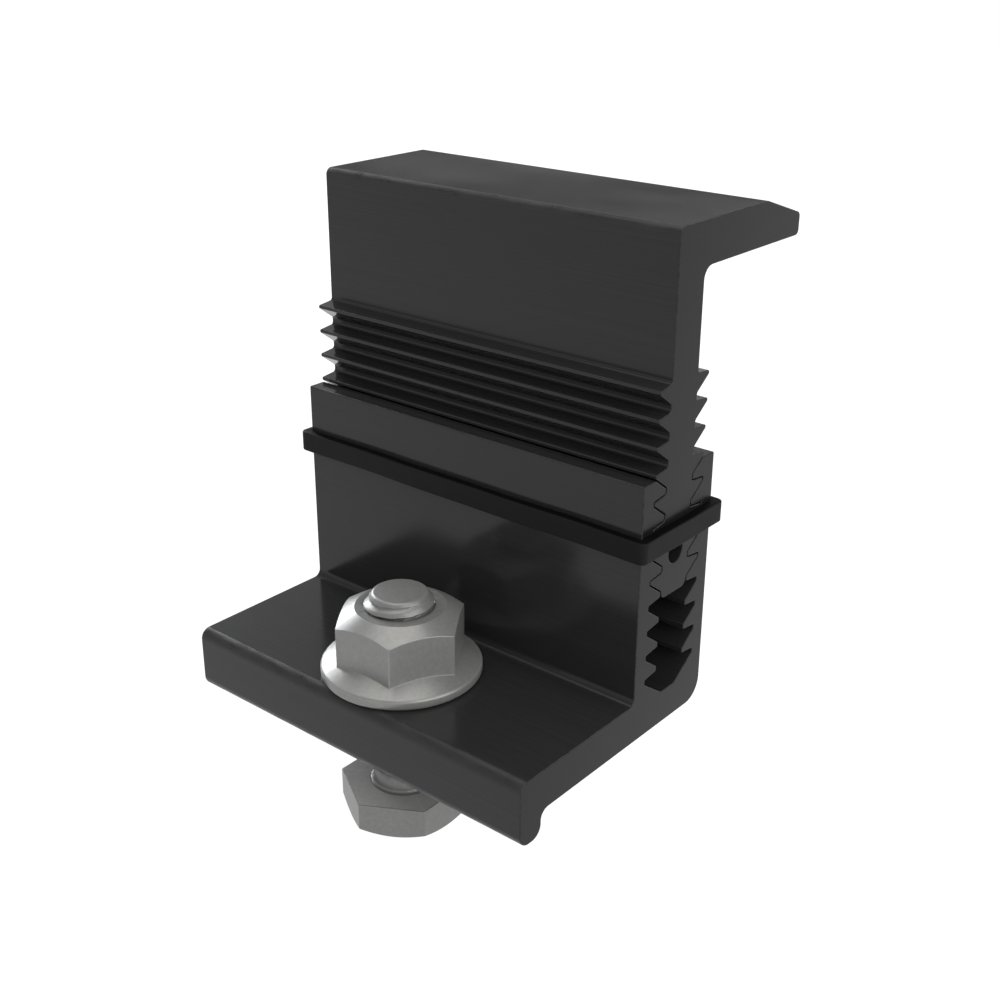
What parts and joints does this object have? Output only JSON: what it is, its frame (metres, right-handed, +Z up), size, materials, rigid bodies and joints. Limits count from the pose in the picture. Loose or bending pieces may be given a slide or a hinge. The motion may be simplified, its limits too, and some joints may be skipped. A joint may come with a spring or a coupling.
{
  "type": "solar end clamp",
  "caption": "Height-adjustable end clamp: a toothed hook stands in a channelled foot, held by a rubber band, with a bolt and flange nut for a slotted rail.",
  "frame": {"origin": "on the bolt axis, at half the length of the profiles, in the plane of the rail top that the heel bears on", "axes": "+X along the profiles, +Y towards the module that the lip holds, +Z up out of the rail along the bolt"},
  "size_m": [0.05, 0.0466, 0.0683],
  "materials": {
    "black_profile": "black anodised, satin",
    "rubber_band": "matte black",
    "bolt_steel": "plain stainless, satin",
    "nut_steel": "plain stainless, satin"
  },
  "bodies": {
    "foot": {"foot_profile": "black_profile", "retaining_band": "rubber_band"},
    "hook": {"hook_profile": "black_profile"},
    "bolt": {"hex_bolt": "bolt_steel"},
    "nut": {"flange_nut": "nut_steel"}
  },
  "joints": [
    {"name": "hook_slide", "type": "slide", "parent": "foot", "child": "hook", "axis": [1, 0, 0], "range_m": [0, 0.05], "deforming": ["retaining_band"]},
    {"name": "nut_turn", "type": "hinge", "parent": "foot", "child": "nut", "pos_m": [0, 0, 0.00755], "axis": [0, 0, 1], "range_deg": [-1728, 1152]},
    {"name": "bolt_draw", "type": "slide", "parent": "foot", "child": "bolt", "axis": [0, 0, 1], "range_m": [-0.00401, 0.00601]}
  ],
  "couplings": [
    {"joint": "bolt_draw", "follows": "nut_turn", "m_per_rad": -0.00019894}
  ]
}
